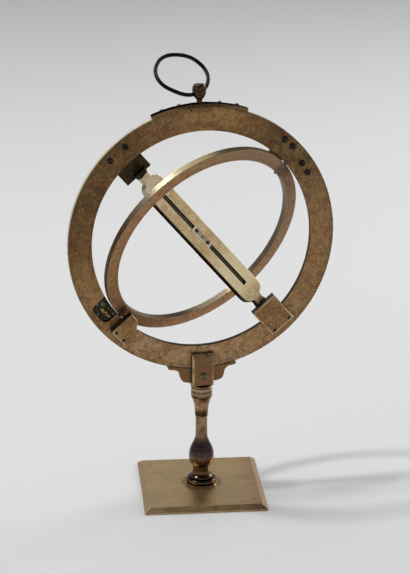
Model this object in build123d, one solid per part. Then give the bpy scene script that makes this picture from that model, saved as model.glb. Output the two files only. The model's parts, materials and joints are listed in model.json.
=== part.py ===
from build123d import *
import math
import os

os.makedirs("parts", exist_ok=True)

# Universal equinoctial ring dial on a turned stand. Millimetres, +Z up, the front of the dial
# faces -Y, and the origin is the centre of the base plate's underside.

# Running and fitting clearances
pivot_clearance = 0.05
seat_clearance = 0.02
slide_clearance = 0.15
face_clearance = 0.1
fold_clearance = 0.3
edge_break = 0.3

# Base plate, turned against the dial
base_side = 70.0
base_thickness = 3.3
base_edge = 1.0
base_bevel = 3.0
base_turn = -9.0
base_pin_hole = 1.2
base_pin_x = 28.2
base_pin_y = 25.0

# Screw that holds the column from below
base_screw_d = 3.4
base_screw_head_d = 7.2
base_screw_head = 1.9
base_screw_recess = 0.25
base_screw_sunk = 0.12
base_screw_grip = 8.0
base_screw_slot = 0.8
base_screw_hole_end = 1.0

# Turned column: heights are above the base plate's upper face, radii are of the turning
foot_r = 9.3
foot_rise = 1.1
foot_bead_r = 8.6
foot_bead_root = 7.5
foot_bead_rise = 3.5
foot_ring_r = 6.9
foot_ring_root = 6.4
foot_ring_rise = 5.2
ankle_r = 4.85
ankle_low = 8.4
ankle_high = 10.8
bulb_r = 7.2
bulb_height = 17.5
neck_r = 3.4
neck_low = 30.1
neck_high = 42.0
reed_r = 3.85
reed_root = 3.45
reed_count = 3
reed_rise = 1.2
cup_r = 3.9
cup_lip_r = 5.9
cup_waist_r = 4.5
cup_high = 53.8
groove_r = 5.3
collar_r = 6.1
collar_low = 54.6
column_height = 60.3

# Clamp head on the column
spigot_d = 4.8
spigot_length = 12.3
spigot_groove_depth = 0.6
spigot_groove_width = 1.4
head_pin_d = 1.0
head_pin_drop = 2.4
head_pin_angles = (-130.5, -107.7)
head_plinth_r = 5.9
head_plinth_rise = 0.7
head_rest_gap = 0.1
rim_rise = 11.5

# Saddle under the rim and its wings
core_width = 12.0
wing_thickness = 3.0
wing_drop = 8.6
wing_root_x = 7.2
wing_belly_x = 12.7
wing_belly_drop = 5.1
wing_hollow_x = 16.6
wing_tip_x = 19.0
wing_nib = 0.9
rim_clearance = 0.3

# Cheeks and clamp screw
cheek_width = 12.7
cheek_height = 19.8
cheek_thickness = 3.1
cheek_bevel_depth = 1.3
cheek_bevel_side = 1.1
cheek_bevel_top = 2.6
cheek_bevel_foot = 0.9
cheek_foot_gap = 0.1
clamp_screw_d = 2.6
clamp_screw_head_d = 4.2
clamp_screw_head = 0.9
clamp_screw_rise = 6.6
clamp_screw_slot = 0.6

# Meridian ring
meridian_od = 152.0
meridian_band = 13.5
meridian_thickness = 3.1

# Hour ring, opened about its axis from the folded place
hour_gap = 0.35
hour_band = 7.0
hour_thickness = 3.7
hour_axis_angle = 40.5
hour_open = 31.6

# Pole axis of the bridge and its blocks: insets run inwards from the bore and laps outwards, and
# a screw's place is its lap and its distance along the rim
pole_angle = 130.5
pole_block_inset = 10.5
pole_block_thickness = 5.4
pole_block_bevel = 0.9
upper_pole_lap = 10.9
upper_pole_side = -7.2
upper_pole_width = 17.0
upper_pole_screws = ((8.4, 7.5), (8.4, -3.6))
lower_pole_lap = 7.9
lower_pole_side = -7.4
lower_pole_width = 16.0
lower_pole_screws = ((6.1, 6.2), (6.1, -4.6))
pole_foot_thickness = 2.4
pole_foot_width = 7.4
pole_foot_drop = 2.2
pole_pin_d = 1.6
pole_pin_grip = 5.0
pole_pin_flush = 0.1
pole_pin_bore_end = 0.3

# Pivots of the hour ring and the half-blocks that cover them
hour_pin_d = 1.8
hour_pin_depth = 6.5
hour_pin_recess = 0.2
half_block_inset = 6.0
half_block_step = 6.8
half_block_length = 14.4
half_block_end = 6.0
half_block_bow = 0.4
half_block_recess = 0.5
half_block_bevel = 0.5
stop_clearance = 0.1
lower_half_lap = 8.9
lower_half_height = 6.0
lower_half_screws = ((7.3, 3.9), (7.3, 10.1))
upper_half_lap = 10.7
upper_half_height = 4.4
upper_half_screws = ((9.2, 5.3), (8.6, 11.5))
plain_block_setback = 0.3
plain_block_screws = ((6.9, -5.9), (5.9, -12.3))
open_recess_lap = 9.0
open_recess_end = 14.6
open_recess_corner = 3.0
open_recess_depth = 1.4
spare_screws = ((6.9, -5.4), (5.7, -11.5))
spare_screw_sunk = 0.2

# Small slotted screws through the meridian ring
ring_screw_d = 1.8
ring_screw_head_d = 3.6
ring_screw_head = 0.9
ring_screw_slot = 0.5
ring_screw_slot_depth = 0.4
ring_screw_dome = 0.35
slot_turn_along = 47.0
slot_turn_out = 13.0

# Bridge and its cursor
bridge_turn = 28.0
bridge_end_gap = 0.4
bridge_width = 15.0
bridge_thickness = 4.0
bridge_neck_width = 6.0
bridge_neck = 2.8
bridge_flare_width = 9.2
bridge_flare = 1.9
bridge_shoulder = 9.9
flare_way = (0.35, -1.0)
bridge_edge = 0.4
slot_width = 2.6
slot_step = 2.0
slot_rear_width = 1.5
slot_length = 74.0
cursor_length = 14.7
cursor_place = 2.0
cursor_lip_width = 3.5
cursor_lip = 0.5
cursor_back_width = 5.4
cursor_back = 0.8
cursor_screw_d = 0.8
cursor_screw_head_d = 2.0
cursor_screw_head = 0.4
cursor_screw_dome = 0.13
cursor_screw_pitch = 9.6
cursor_screw_slot = 0.35
cursor_pinhole = 0.8

# Suspension at the top of the meridian ring
suspension_angle = 91.2
strap_half_angle = 20.4
strap_thickness = 1.8
strap_width = 4.3
strap_screw_angles = (-15.6, -8.4, 8.4, 15.6)
strap_screw_d = 1.5
strap_screw_head_d = 2.0
strap_screw_head = 1.1
strap_screw_grip = 3.2
hanger_width = 10.2
hanger_thickness = 4.8
hanger_rise = 1.8
hanger_tab = 2.8
hanger_corner = 1.4

# Shackle and bail
stem_d = 3.1
stem_rise = 2.0
stem_flange_d = 4.0
stem_flange = 0.8
stem_relief = 1.0
shackle_r = 3.85
shackle_widest = 4.3
shackle_shoulder_r = 3.2
shackle_shoulder = 8.0
shackle_height = 8.8
bail_r = 14.8
bail_wire = 2.2
bail_hole_rise = 3.8
bail_hole_play = 0.2
bail_hole_mouth = 1.0
bail_azimuth = 27.8
bail_tilt = 12.0
bail_elevation = 33.9

# Heights and places worked out from the sizes above
column_top = base_thickness + column_height
plinth_low = column_top + head_rest_gap
plinth_top = plinth_low + head_plinth_rise
rim_low = column_top + rim_rise
ring_z = rim_low + meridian_od / 2
face = meridian_thickness / 2
rim_r = meridian_od / 2
meridian_id = meridian_od - 2 * meridian_band
bore_r = meridian_id / 2
pole_block_inner = bore_r - pole_block_inset
bridge_reach = pole_block_inner - bridge_end_gap
hour_outer_r = bore_r - hour_gap
hour_inner_r = hour_outer_r - hour_band
hour_face = hour_thickness / 2
core_half = face + face_clearance
clamp_screw_z = plinth_top + clamp_screw_rise
relief = hour_face + fold_clearance
stop_side = hour_face + stop_clearance
far = 2 * meridian_od
wedge_reach = 1.5

# The dial's own frame: x to the right, y up and z out of its front face
dial = Location(Plane(origin=(0, 0, ring_z), x_dir=(1, 0, 0), z_dir=(0, -1, 0)))
base = Location((0, 0, 0), (0, 0, base_turn))


def radial(angle):
    """Frame with x outwards along a radius of the dial, y along the rim and z to the front."""
    return dial * Location((0, 0, 0), (0, 0, angle))


def disc(radius, low, high):
    """Upright round bar between two heights."""
    return Pos(0, 0, low) * Cylinder(radius, high - low, align=(Align.CENTER, Align.CENTER, Align.MIN))


def block(x0, x1, y0, y1, z0, z1):
    """Box between two corners."""
    return Pos((x0 + x1) / 2, (y0 + y1) / 2, (z0 + z1) / 2) * Box(x1 - x0, y1 - y0, z1 - z0)


def bar_x(radius, start, end):
    """Round bar along x."""
    return Pos(start, 0, 0) * Rot(0, 90, 0) * disc(radius, 0, end - start)


def sector(radius, half_angle, low, high):
    """Wedge about +x of the given half angle, larger than the radius."""
    reach = radius * wedge_reach
    side = reach * math.tan(math.radians(half_angle))
    outline = Polyline((0, 0), (reach, -side), (reach, side), (0, 0))
    return Pos(0, 0, low) * extrude(make_face(outline), high - low)


def slotted_screw(shank_d, head_d, head, length, slot, slot_depth, dome):
    """Screw along z: the head stands above z = 0 and the shank goes down by its length."""
    cap = disc(head_d / 2, 0, head)
    cap = chamfer(cap.edges().group_by(Axis.Z)[-1], dome)
    cap -= block(-head_d, head_d, -slot / 2, slot / 2, head - slot_depth, 2 * head)
    return cap + disc(shank_d / 2, -length, 0)


# Stand


def make_base_plate():
    """Square plate with a bevelled upper edge, pierced for the column's screw."""
    foot = extrude(Rectangle(base_side, base_side), base_edge)
    top_side = base_side - 2 * base_bevel
    bevel = loft([
        Plane.XY.offset(base_edge) * Rectangle(base_side, base_side),
        Plane.XY.offset(base_thickness) * Rectangle(top_side, top_side),
    ])
    plate = foot + bevel
    plate -= disc(base_screw_d / 2 + pivot_clearance, -base_thickness, 2 * base_thickness)
    plate -= base_screw_sink(pivot_clearance, 0)
    for side in (1, -1):
        hole = disc(base_pin_hole / 2, -base_thickness, 2 * base_thickness)
        plate -= Pos(side * base_pin_x, -side * base_pin_y, 0) * hole
    return base * plate


def base_screw_sink(play, low):
    """Countersunk head of the base screw, widened by the play, from a height upwards."""
    rim = base_screw_head_d / 2 + play
    shank = base_screw_d / 2 + play
    top = base_screw_recess + base_screw_head
    outline = Polyline((0, low), (rim, low), (rim, base_screw_recess), (shank, top), (0, top), (0, low))
    return revolve(make_face(Plane.XZ * outline), Axis.Z)


def make_base_screw():
    """Slotted countersunk screw that draws the column down on the plate."""
    screw = base_screw_sink(0, base_screw_sunk)
    screw += disc(base_screw_d / 2, base_screw_recess, base_thickness + base_screw_grip)
    slot_top = base_screw_recess + base_screw_slot
    half = base_screw_slot / 2
    screw -= block(-base_screw_head_d, base_screw_head_d, -half, half, 0, slot_top)
    return base * screw


def column_profile():
    """Half outline of the turned column, from its axis round the outside and back."""
    b = base_thickness
    reed_low = b + neck_high
    lines = [
        Line((0, b), (foot_r, b)),
        Line((foot_r, b), (foot_r, b + foot_rise)),
        Line((foot_r, b + foot_rise), (foot_bead_root, b + foot_rise)),
        ThreePointArc(
            (foot_bead_root, b + foot_rise),
            (foot_bead_r, b + (foot_rise + foot_bead_rise) / 2),
            (foot_bead_root, b + foot_bead_rise),
        ),
        Line((foot_bead_root, b + foot_bead_rise), (foot_ring_root, b + foot_bead_rise)),
        ThreePointArc(
            (foot_ring_root, b + foot_bead_rise),
            (foot_ring_r, b + (foot_bead_rise + foot_ring_rise) / 2),
            (foot_ring_root, b + foot_ring_rise),
        ),
        Spline(
            (foot_ring_root, b + foot_ring_rise),
            (ankle_r, b + ankle_low),
            tangents=((-1, 0.6), (0, 1)),
        ),
        Line((ankle_r, b + ankle_low), (ankle_r, b + ankle_high)),
        Spline(
            (ankle_r, b + ankle_high),
            (bulb_r, b + bulb_height),
            tangents=((0.8, 0.6), (0, 1)),
        ),
        Spline(
            (bulb_r, b + bulb_height),
            (neck_r, b + neck_low),
            tangents=((0, 1), (-0.1, 1)),
        ),
        Line((neck_r, b + neck_low), (neck_r, reed_low)),
        Line((neck_r, reed_low), (reed_root, reed_low)),
    ]
    for number in range(reed_count):
        low = reed_low + number * reed_rise
        high = low + reed_rise
        lines.append(ThreePointArc((reed_root, low), (reed_r, (low + high) / 2), (reed_root, high)))
    cup_low = reed_low + reed_count * reed_rise
    cup_middle = (cup_low + b + cup_high) / 2
    lines += [
        Line((reed_root, cup_low), (cup_r, cup_low)),
        ThreePointArc((cup_r, cup_low), (cup_waist_r, cup_middle), (cup_lip_r, b + cup_high)),
        Line((cup_lip_r, b + cup_high), (groove_r, b + cup_high + (collar_low - cup_high) / 2)),
        Line((groove_r, b + cup_high + (collar_low - cup_high) / 2), (collar_r, b + collar_low)),
        Line((collar_r, b + collar_low), (collar_r, column_top)),
        Line((collar_r, column_top), (0, column_top)),
        Line((0, column_top), (0, b)),
    ]
    return lines


def head_pin_place(angle):
    """Frame with x outwards through the collar at the height of the retaining pins."""
    return Location((0, 0, column_top - head_pin_drop), (0, 0, angle))


def make_column():
    """Turned baluster with a socket for the head and a tapped hole for the base screw."""
    turning = revolve(make_face(Plane.XZ * Curve(children=column_profile())), Axis.Z)
    turning = chamfer(turning.edges().group_by(Axis.Z)[-1], edge_break)
    tapped_high = base_thickness + base_screw_grip + base_screw_hole_end
    turning -= disc(base_screw_d / 2 + pivot_clearance, 0, tapped_high)
    socket_low = column_top - spigot_length
    turning -= disc(spigot_d / 2 + pivot_clearance, socket_low, 2 * column_top)
    for angle in head_pin_angles:
        turning -= head_pin_place(angle) * bar_x(head_pin_d / 2 + seat_clearance, 0, 2 * collar_r)
    return turning


def make_head_pins():
    """Two pins through the collar whose inner ends keep the head's spigot in its socket."""
    inner = spigot_d / 2 - spigot_groove_depth + slide_clearance
    pins = [head_pin_place(angle) * bar_x(head_pin_d / 2, inner, collar_r) for angle in head_pin_angles]
    return Compound(children=pins)


# Clamp head


def make_head_saddle():
    """Spigot, plinth and flat core with two ogee wings that follow the rim of the ring."""
    spigot_low = column_top - spigot_length + fold_clearance
    groove_z = column_top - head_pin_drop
    spigot = disc(spigot_d / 2, spigot_low, plinth_low)
    groove = disc(spigot_d, groove_z - spigot_groove_width / 2, groove_z + spigot_groove_width / 2)
    spigot -= groove - disc(spigot_d / 2 - spigot_groove_depth, spigot_low, plinth_low)
    plinth = disc(head_plinth_r, plinth_low, plinth_top)
    core_high = rim_low + meridian_thickness
    core = block(-core_width / 2, core_width / 2, -core_half, core_half, plinth_low, core_high)
    low = rim_low - wing_drop
    belly = rim_low - wing_belly_drop
    tip_low = ring_z - math.sqrt((rim_r + rim_clearance) ** 2 - wing_tip_x ** 2) - 2 * wing_nib
    hollow_low = tip_low - wing_nib / 2
    rim_high = rim_low + meridian_thickness + wing_nib
    outline = Curve(children=[
        Line((0, low), (wing_root_x, low)),
        Spline((wing_root_x, low), (wing_belly_x, belly), tangents=((1, 0), (0.2, 1))),
        Spline((wing_belly_x, belly), (wing_hollow_x, hollow_low), tangents=((0.1, 1), (1, 0.1))),
        Line((wing_hollow_x, hollow_low), (wing_tip_x, tip_low)),
        ThreePointArc(
            (wing_tip_x, tip_low),
            (wing_tip_x + wing_nib, tip_low + wing_nib),
            (wing_tip_x + wing_nib / 2, tip_low + 2 * wing_nib),
        ),
        Line((wing_tip_x + wing_nib / 2, tip_low + 2 * wing_nib), (wing_tip_x + wing_nib / 2, rim_high)),
        Line((wing_tip_x + wing_nib / 2, rim_high), (0, rim_high)),
        Line((0, rim_high), (0, low)),
    ])
    wing = Pos(0, wing_thickness / 2, 0) * extrude(make_face(Plane.XZ * outline), wing_thickness)
    saddle = plinth + core + wing + mirror(wing, about=Plane.YZ)
    saddle -= dial * disc(rim_r + rim_clearance, -far, far)
    saddle += spigot
    saddle -= clamp_axis() * disc(clamp_screw_d / 2 + pivot_clearance, -far, far)
    return saddle


def clamp_axis():
    """Frame on the clamp screw's axis, with z to the front."""
    return Location(Plane(origin=(0, 0, clamp_screw_z), x_dir=(1, 0, 0), z_dir=(0, -1, 0)))


def make_cheek():
    """Front cheek: a plate with a bevelled face, lapping the ring and standing on the plinth."""
    low = plinth_top + cheek_foot_gap
    high = low + cheek_height
    half = cheek_width / 2
    shoulder = core_half + cheek_thickness - cheek_bevel_depth
    outer = core_half + cheek_thickness
    plate = block(-half, half, -shoulder, -core_half, low, high)
    back = Plane(origin=(0, -shoulder, (low + high) / 2), x_dir=(1, 0, 0), z_dir=(0, -1, 0))
    inner_low = low + cheek_bevel_foot
    inner_high = high - cheek_bevel_top
    front = Plane(origin=(0, -outer, (inner_low + inner_high) / 2), x_dir=(1, 0, 0), z_dir=(0, -1, 0))
    plate += loft([
        back * Rectangle(cheek_width, cheek_height),
        front * Rectangle(cheek_width - 2 * cheek_bevel_side, inner_high - inner_low),
    ])
    plate -= clamp_axis() * disc(clamp_screw_d / 2 + pivot_clearance, -far, far)
    return plate


def make_clamp_screw():
    """Slotted screw that draws the two cheeks together on the ring."""
    outer = core_half + cheek_thickness
    length = 2 * outer + pivot_clearance
    screw = slotted_screw(
        clamp_screw_d, clamp_screw_head_d, clamp_screw_head, length,
        clamp_screw_slot, clamp_screw_head / 2, ring_screw_dome,
    )
    return clamp_axis() * Pos(0, 0, outer + pivot_clearance) * screw


# Meridian ring and what is screwed to it


def behind(shape):
    """Moves a piece of a radial frame from the front face to the rear face, keeping its side."""
    return mirror(shape, about=Plane.XY)


def cross_hole(lap, w):
    """Clearance hole for a small screw through the dial, in a radial frame."""
    return Pos(bore_r + lap, w, 0) * disc(ring_screw_d / 2 + pivot_clearance, -far, far)


def cross_screw(lap, w, front_head, block_height):
    """Small screw with its head on one face of the ring and its end flush with a block on the other."""
    screw = slotted_screw(
        ring_screw_d, ring_screw_head_d, ring_screw_head, meridian_thickness + block_height,
        ring_screw_slot, ring_screw_slot_depth, ring_screw_dome,
    )
    screw = Rot(0, 0, slot_turn_along * w + slot_turn_out * lap) * screw
    if front_head:
        return Pos(bore_r + lap, w, face) * screw
    return Pos(bore_r + lap, w, -face) * Rot(180, 0, 0) * screw


def bowed(start, end, bow):
    """Arc between two points that stands out to the right of their chord by the bow."""
    chord = Vector(*end) - Vector(*start)
    middle = (Vector(*start) + Vector(*end)) / 2
    side = Vector(chord.Y, -chord.X).normalized() * bow
    return ThreePointArc(start, middle + side, end)


def half_block(height, lap, screws):
    """Half-block beside a pivot, with the flat side that stops the opened hour ring."""
    inner = bore_r - half_block_inset
    outer = bore_r + lap
    shoulder = outer - half_block_end
    seat = face - half_block_recess
    outline = Curve(children=[
        Line((inner, stop_side), (outer, stop_side)),
        Line((outer, stop_side), (outer, half_block_length)),
        Line((outer, half_block_length), (shoulder, half_block_length)),
        bowed((shoulder, half_block_length), (inner, half_block_step), half_block_bow),
        Line((inner, half_block_step), (inner, stop_side)),
    ])
    body = Pos(0, 0, seat) * extrude(make_face(outline), face + height - seat)
    body = chamfer(body.edges().group_by(Axis.Z)[-1], half_block_bevel)
    body -= disc(bore_r + seat_clearance, 0, relief)
    for out, w in screws:
        body -= cross_hole(out, w)
    return body


def half_block_pocket(lap):
    """Recess in the ring's face that seats a half-block."""
    inner = bore_r - half_block_inset
    outer = bore_r + lap + seat_clearance
    start = stop_side - seat_clearance
    end = half_block_length + seat_clearance
    return block(inner, outer, start, end, face - half_block_recess, 2 * face)


def open_recess():
    """Empty seat of the half-block that is gone, open to the bore and round at its outer corners."""
    floor = face - open_recess_depth
    body = block(0, bore_r + open_recess_lap, -open_recess_end, -stop_side, floor, 2 * face)
    corners = body.edges().filter_by(Axis.Z).group_by(Axis.X)[-1]
    return fillet(corners, open_recess_corner)


def plain_block():
    """Second half-block, which stops short of the hour ring."""
    inner = bore_r + plain_block_setback
    outer = bore_r + upper_half_lap
    body = block(inner, outer, -half_block_length, -stop_side, face, face + upper_half_height)
    body = chamfer(body.edges().group_by(Axis.Z)[-1], half_block_bevel)
    for out, w in plain_block_screws:
        body -= cross_hole(out, w)
    return body


def make_meridian_ring():
    """Graduated ring with its pivot bores, seats, recess and screw holes."""
    ring = disc(rim_r, -face, face) - disc(bore_r, -2 * face, 2 * face)
    ring = chamfer(ring.edges().filter_by(GeomType.CIRCLE), edge_break)
    pin_bore_end = bore_r + hour_pin_depth + slide_clearance
    upper = Location((0, 0, 0), (0, 0, hour_axis_angle))
    lower = Location((0, 0, 0), (0, 0, hour_axis_angle + 180))
    pin_bore = bar_x(hour_pin_d / 2 + seat_clearance, hour_inner_r, pin_bore_end)
    for place in (upper, lower):
        ring -= place * pin_bore
    ring -= lower * half_block_pocket(lower_half_lap)
    ring -= upper * behind(half_block_pocket(upper_half_lap))
    ring -= lower * open_recess()
    for lap, w in upper_half_screws + plain_block_screws:
        ring -= upper * cross_hole(lap, w)
    for lap, w in lower_half_screws + spare_screws:
        ring -= lower * cross_hole(lap, w)
    for turn, screws in ((0, upper_pole_screws), (180, lower_pole_screws)):
        for lap, w in screws:
            ring -= Location((0, 0, 0), (0, 0, pole_angle + turn)) * cross_hole(lap, w)
    for angle in strap_screw_angles:
        place = Location((0, 0, 0), (0, 0, suspension_angle + angle))
        bore_low = rim_r - strap_screw_grip - slide_clearance
        bore = bar_x(strap_screw_d / 2 + seat_clearance, bore_low, 2 * rim_r)
        ring -= place * bore
    return dial * ring


def make_pole_block(lap, side, width, screws):
    """Block on the front face that carries one end of the bridge on a foot at mid thickness."""
    top = face + pole_block_thickness
    body = block(pole_block_inner, bore_r + lap, side, side + width, face, top)
    body = chamfer(body.edges().group_by(Axis.Z)[-1], pole_block_bevel)
    body -= disc(bore_r + seat_clearance, 0, relief)
    foot_half = pole_foot_width / 2
    foot = block(
        pole_block_inner, pole_block_inner + pole_foot_thickness, -foot_half, foot_half,
        -pole_foot_drop, relief + pole_block_bevel,
    )
    foot = fillet(foot.edges().filter_by(Axis.X).group_by(Axis.Z)[0], pole_foot_drop / 2)
    body += foot
    bore_end = pole_block_inner + pole_foot_thickness + pole_pin_bore_end
    body -= bar_x(pole_pin_d / 2 + seat_clearance, 0, bore_end)
    for out, w in screws:
        body -= cross_hole(out, w)
    return body


def make_pole_pin():
    """Pivot pin of the bridge, fixed in the block's foot."""
    outer = pole_block_inner + pole_foot_thickness - pole_pin_flush
    return bar_x(pole_pin_d / 2, bridge_reach - pole_pin_grip, outer)


def make_hour_pin():
    """Radial pin through the hour ring's band into the meridian ring."""
    return bar_x(hour_pin_d / 2, hour_inner_r + hour_pin_recess, bore_r + hour_pin_depth)


def make_hour_ring():
    """Hour ring with its two pivot bores, opened about its axis."""
    ring = disc(hour_outer_r, -hour_face, hour_face) - disc(hour_inner_r, -hour_thickness, hour_thickness)
    ring = chamfer(ring.edges().filter_by(GeomType.CIRCLE), edge_break)
    ring -= bar_x(hour_pin_d / 2 + pivot_clearance, -meridian_od, meridian_od)
    return radial(hour_axis_angle) * Rot(hour_open, 0, 0) * ring


# Bridge and cursor, in a frame with x along the pole axis and z out of the bridge's face


def bridge_frame():
    """Frame of the turned bridge: x towards the upper pole, z out of its face."""
    return radial(pole_angle) * Location((0, 0, 0), (bridge_turn, 0, 0))


def bridge_quarter():
    """Outline of one quarter of the bridge, from the middle of its side to its end."""
    half = bridge_width / 2
    neck = bridge_neck_width / 2
    flare = bridge_flare_width / 2
    neck_x = bridge_reach - bridge_neck
    flare_x = neck_x - bridge_flare
    shoulder_x = flare_x - bridge_shoulder
    return [
        Line((0, 0), (0, half)),
        Line((0, half), (shoulder_x, half)),
        Spline((shoulder_x, half), (flare_x, flare), tangents=((1, 0), flare_way)),
        Spline((flare_x, flare), (neck_x, neck), tangents=(flare_way, (1, 0))),
        Line((neck_x, neck), (bridge_reach, neck)),
        Line((bridge_reach, neck), (bridge_reach, 0)),
        Line((bridge_reach, 0), (0, 0)),
    ]


def make_bridge():
    """Flat bar with ogee ends, a long slot for the cursor and a pivot bore at each end."""
    half = bridge_thickness / 2
    quarter = Pos(0, 0, -half) * extrude(make_face(Curve(children=bridge_quarter())), bridge_thickness)
    side = quarter + mirror(quarter, about=Plane.XZ)
    bar = side + mirror(side, about=Plane.YZ)
    bar = chamfer(bar.edges().filter_by(GeomType.LINE).filter_by(Axis.X), bridge_edge)
    end = slot_length / 2
    bar -= block(-end, end, -slot_width / 2, slot_width / 2, half - slot_step, bridge_thickness)
    bar -= block(-end, end, -slot_rear_width / 2, slot_rear_width / 2, -bridge_thickness, bridge_thickness)
    for side in (1, -1):
        start = bridge_reach - pole_pin_grip - slide_clearance
        bore = bar_x(pole_pin_d / 2 + pivot_clearance, start, 2 * bridge_reach)
        bar -= bore if side > 0 else mirror(bore, about=Plane.YZ)
    return bridge_frame() * bar


def cursor_holes(shape, diameter):
    """Takes the two screw holes and the sun's pinhole out of a piece of the cursor."""
    for side in (1, -1):
        shape -= Pos(side * cursor_screw_pitch / 2, 0, 0) * disc(diameter / 2, -far, far)
    return shape - disc(cursor_pinhole / 2, -far, far)


def make_cursor_front():
    """Cursor's bar in the stepped slot, with a thin lip over the bridge's face."""
    half = bridge_thickness / 2
    length = cursor_length / 2
    neck_half = slot_rear_width / 2 - slide_clearance
    bar_half = slot_width / 2 - slide_clearance
    lip_half = cursor_lip_width / 2
    lip_low = half + pivot_clearance
    body = block(-length, length, -neck_half, neck_half, -lip_low, lip_low)
    body += block(-length, length, -bar_half, bar_half, half - slot_step + slide_clearance, lip_low)
    body += block(-length, length, -lip_half, lip_half, lip_low, lip_low + cursor_lip)
    body = cursor_holes(body, cursor_screw_d + 2 * seat_clearance)
    return bridge_frame() * Pos(cursor_place, 0, 0) * body


def make_cursor_back():
    """Keeper plate behind the bridge that holds the cursor in its slot."""
    half = bridge_thickness / 2 + pivot_clearance
    length = cursor_length / 2
    wide = cursor_back_width / 2
    plate = block(-length, length, -wide, wide, -half - cursor_back, -half)
    body = cursor_holes(plate, cursor_screw_d + 2 * seat_clearance)
    return bridge_frame() * Pos(cursor_place, 0, 0) * body


def make_cursor_screws():
    """Two slotted screws that hold the cursor's halves together."""
    top = bridge_thickness / 2 + pivot_clearance + cursor_lip
    length = top + bridge_thickness / 2 + pivot_clearance + cursor_back
    screws = []
    for side in (1, -1):
        screw = slotted_screw(
            cursor_screw_d, cursor_screw_head_d, cursor_screw_head, length,
            cursor_screw_slot, cursor_screw_head / 2, cursor_screw_dome,
        )
        turned = Location((cursor_place + side * cursor_screw_pitch / 2, 0, top), (0, 0, side * bridge_turn))
        screws.append(bridge_frame() * turned * screw)
    return Compound(children=screws)


# Suspension, in a radial frame at the top of the ring


def make_hanger():
    """Strap bent round the rim with a block that straddles the ring and carries the shackle."""
    half_strap = strap_width / 2
    strap = disc(rim_r + strap_thickness, -half_strap, half_strap)
    strap = strap & sector(rim_r, strap_half_angle, -far, far)
    half = hanger_thickness / 2
    wide = hanger_width / 2
    top = rim_r + hanger_rise
    body = block(rim_r - hanger_tab, top, -wide, wide, -half, half)
    corners = body.edges().filter_by(Axis.Z).group_by(Axis.X)[0]
    body = fillet(corners, hanger_corner)
    body = chamfer(body.edges().group_by(Axis.X)[-1], edge_break)
    body += strap
    body -= disc(rim_r + seat_clearance, -face - seat_clearance, face + seat_clearance)
    body -= strap_inner_cut()
    body -= bar_x(stem_d / 2 + pivot_clearance, 0, 2 * rim_r)
    flange_top = rim_r + stem_flange + 2 * slide_clearance
    body -= bar_x(stem_flange_d / 2 + slide_clearance, rim_r - stem_relief, flange_top)
    for angle in strap_screw_angles:
        hole = bar_x(strap_screw_d / 2 + seat_clearance, 0, 2 * rim_r)
        body -= Location((0, 0, 0), (0, 0, angle)) * hole
    return radial(suspension_angle) * body


def strap_inner_cut():
    """Space inside the strap's bend, apart from the block's two tabs."""
    wide = hanger_width / 2
    inside = disc(rim_r + seat_clearance, -far, far)
    tabs = block(rim_r - hanger_tab, far, -wide, wide, -far, far)
    return inside - tabs


def make_strap_screws():
    """Four screws that hold the strap on the rim, their heads standing proud."""
    screws = []
    for angle in strap_screw_angles:
        screw = slotted_screw(
            strap_screw_d, strap_screw_head_d, strap_screw_head + strap_thickness,
            strap_screw_grip, ring_screw_slot, ring_screw_slot_depth, ring_screw_dome,
        )
        neck = disc(strap_screw_head_d, 0, strap_thickness) - disc(strap_screw_d / 2, -1, far)
        placed = Pos(rim_r, 0, 0) * Rot(0, 90, 0) * (screw - neck)
        screws.append(radial(suspension_angle + angle) * placed)
    return Compound(children=screws)


def make_shackle():
    """Acorn-shaped head on a swivelling stem, with a bell-mouthed hole for the bail."""
    stem_r = stem_d / 2
    low = rim_r + slide_clearance
    neck = rim_r + hanger_rise + stem_rise
    outline = Curve(children=[
        Line((0, low), (stem_flange_d / 2, low)),
        Line((stem_flange_d / 2, low), (stem_flange_d / 2, low + stem_flange)),
        Line((stem_flange_d / 2, low + stem_flange), (stem_r, low + stem_flange)),
        Line((stem_r, low + stem_flange), (stem_r, neck)),
        Spline(
            (stem_r, neck),
            (shackle_r, neck + shackle_widest),
            (shackle_shoulder_r, neck + shackle_shoulder),
            (0, neck + shackle_height),
            tangents=((0.9, 1), (-1, 0)),
        ),
        Line((0, neck + shackle_height), (0, low)),
    ])
    body = revolve(make_face(Plane.XZ * outline), Axis.Z)
    placed = radial(suspension_angle) * Rot(0, 90, 0) * body
    return placed - bail_hole()


def bail_point():
    """Point on the shackle's axis through which the bail passes."""
    reach = rim_r + hanger_rise + stem_rise + bail_hole_rise
    angle = math.radians(suspension_angle)
    return Vector(reach * math.cos(angle), 0, ring_z + reach * math.sin(angle))


def bail_axis():
    """Direction of the hole through the shackle."""
    azimuth = math.radians(bail_azimuth)
    tilt = math.radians(bail_tilt)
    return Vector(math.cos(azimuth) * math.cos(tilt), math.sin(azimuth) * math.cos(tilt), math.sin(tilt))


def bail_lean():
    """Direction from the hole to the middle of the bail, square to the hole."""
    azimuth = math.radians(bail_azimuth)
    level = Vector(-math.sin(azimuth), math.cos(azimuth), 0)
    rise = bail_axis().cross(level)
    elevation = math.radians(bail_elevation)
    return level * math.cos(elevation) + rise * math.sin(elevation)


def bail_hole():
    """Hole that clears the curved wire as the bail swings: wider towards both mouths."""
    throat = bail_wire / 2 + bail_hole_play
    reach = shackle_r + bail_hole_mouth
    mouth = throat + reach ** 2 / (2 * bail_r)
    arc = ThreePointArc((mouth, -reach), (throat, 0), (mouth, reach))
    outline = Curve(children=[
        arc,
        Line((mouth, reach), (0, reach)),
        Line((0, reach), (0, -reach)),
        Line((0, -reach), (mouth, -reach)),
    ])
    cutter = revolve(make_face(Plane.XZ * outline), Axis.Z)
    return Location(Plane(origin=bail_point(), z_dir=bail_axis())) * cutter


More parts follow.
